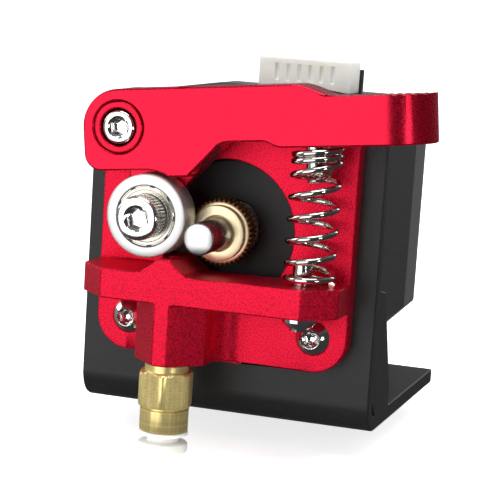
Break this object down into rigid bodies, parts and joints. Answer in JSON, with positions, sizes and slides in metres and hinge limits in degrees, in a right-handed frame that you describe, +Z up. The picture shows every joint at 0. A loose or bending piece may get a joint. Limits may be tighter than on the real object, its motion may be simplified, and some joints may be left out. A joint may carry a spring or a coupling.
{
  "type": "filament extruder drive unit",
  "caption": "Motor-driven filament feeder: toothed drive gear, sprung idler lever with ball bearing, clamp block, push-in tube fitting and angle bracket.",
  "frame": {"origin": "centre of the four bolt holes, on the underside of the bracket's foot", "axes": "+Z up, square to the foot; -Y is the front, where the drive gear, lever and fitting are; +X is to the right seen from the front, towards the lever's thumb end"},
  "size_m": [0.0581, 0.0646, 0.0616],
  "materials": {
    "black_powder_coat": "matte black powder coat",
    "red_anodised": "bead-blasted, red anodised",
    "bright_nickel": "bright nickel",
    "bearing_steel": "ground bearing steel",
    "brass": "turned brass",
    "black_oxide": "black oxide steel",
    "white_plastic": "natural white plastic",
    "black_rubber": "nitrile rubber",
    "black_motor_paint": "satin black paint",
    "cast_alloy": "die-cast, grey",
    "bobbin_plastic": "black nylon",
    "copper_wire": "enamelled copper wire",
    "shaft_steel": "ground steel",
    "magnet": "sintered magnet",
    "cage_plastic": "natural nylon",
    "gold_pin": "plated pins"
  },
  "bodies": {
    "frame": {"mounting_bracket": "black_powder_coat", "base_block": "red_anodised", "plate_screws": "bright_nickel", "pivot_bush": "red_anodised", "pivot_washer": "bearing_steel", "pivot_screw": "bright_nickel", "tension_spring": "bright_nickel", "spring_guide_screw": "bright_nickel", "fitting_body": "brass", "fitting_o_ring": "black_rubber", "fitting_grab_ring": "bearing_steel", "fitting_collar": "white_plastic", "motor_front_cap": "black_motor_paint", "motor_stator": "black_motor_paint", "winding_bobbins": "bobbin_plastic", "motor_windings": "copper_wire", "front_bearing_outer": "bearing_steel", "rear_bearing_outer": "bearing_steel", "wave_washer": "bearing_steel", "motor_rear_cap": "cast_alloy", "motor_case_screws": "bright_nickel", "connector_board": "bobbin_plastic", "connector_housing": "white_plastic", "connector_pins": "gold_pin"},
    "lever": {"lever_arm": "red_anodised", "idler_inner_ring": "bearing_steel", "idler_washer": "bearing_steel", "idler_screw": "bright_nickel", "spring_stud_screw": "bright_nickel"},
    "idler_roller": {"idler_outer_ring": "bearing_steel", "idler_shields": "bearing_steel"},
    "idler_ball_train": {"idler_balls": "bearing_steel", "idler_cage": "cage_plastic"},
    "rotor": {"drive_gear": "brass", "gear_grub_screw": "black_oxide", "motor_shaft": "shaft_steel", "rotor_cups": "shaft_steel", "rotor_magnet": "magnet", "front_bearing_inner": "bearing_steel", "rear_bearing_inner": "bearing_steel"},
    "motor_ball_trains": {"front_bearing_balls": "bearing_steel", "rear_bearing_balls": "bearing_steel"},
    "release": {"release_ring": "white_plastic"}
  },
  "joints": [
    {"name": "lever_pivot", "type": "hinge", "parent": "frame", "child": "lever", "pos_m": [-0.0155, -0.03255, 0.0465], "axis": [0, 1, 0], "range_deg": [0, 14], "stiffness_Nm_per_rad": 4.7, "deforming": ["tension_spring"]},
    {"name": "motor_turn", "type": "hinge", "parent": "frame", "child": "rotor", "pos_m": [0, -0.02375, 0.031], "axis": [0, 1, 0], "continuous": true},
    {"name": "idler_turn", "type": "hinge", "parent": "lever", "child": "idler_roller", "pos_m": [-0.00989, -0.03435, 0.03331], "axis": [0, 1, 0], "continuous": true},
    {"name": "idler_balls_turn", "type": "hinge", "parent": "lever", "child": "idler_ball_train", "pos_m": [-0.00989, -0.03435, 0.03331], "axis": [0, 1, 0], "continuous": true},
    {"name": "motor_balls_turn", "type": "hinge", "parent": "frame", "child": "motor_ball_trains", "pos_m": [0, -0.02375, 0.031], "axis": [0, 1, 0], "continuous": true},
    {"name": "release_press", "type": "slide", "parent": "frame", "child": "release", "axis": [0, 0, 1], "range_m": [0, 0.0008], "stiffness_N_per_m": 150}
  ],
  "couplings": [
    {"joint": "idler_turn", "follows": "motor_turn", "ratio": -0.81539},
    {"joint": "idler_balls_turn", "follows": "motor_turn", "ratio": -0.48819},
    {"joint": "motor_balls_turn", "follows": "motor_turn", "ratio": 0.35714}
  ]
}
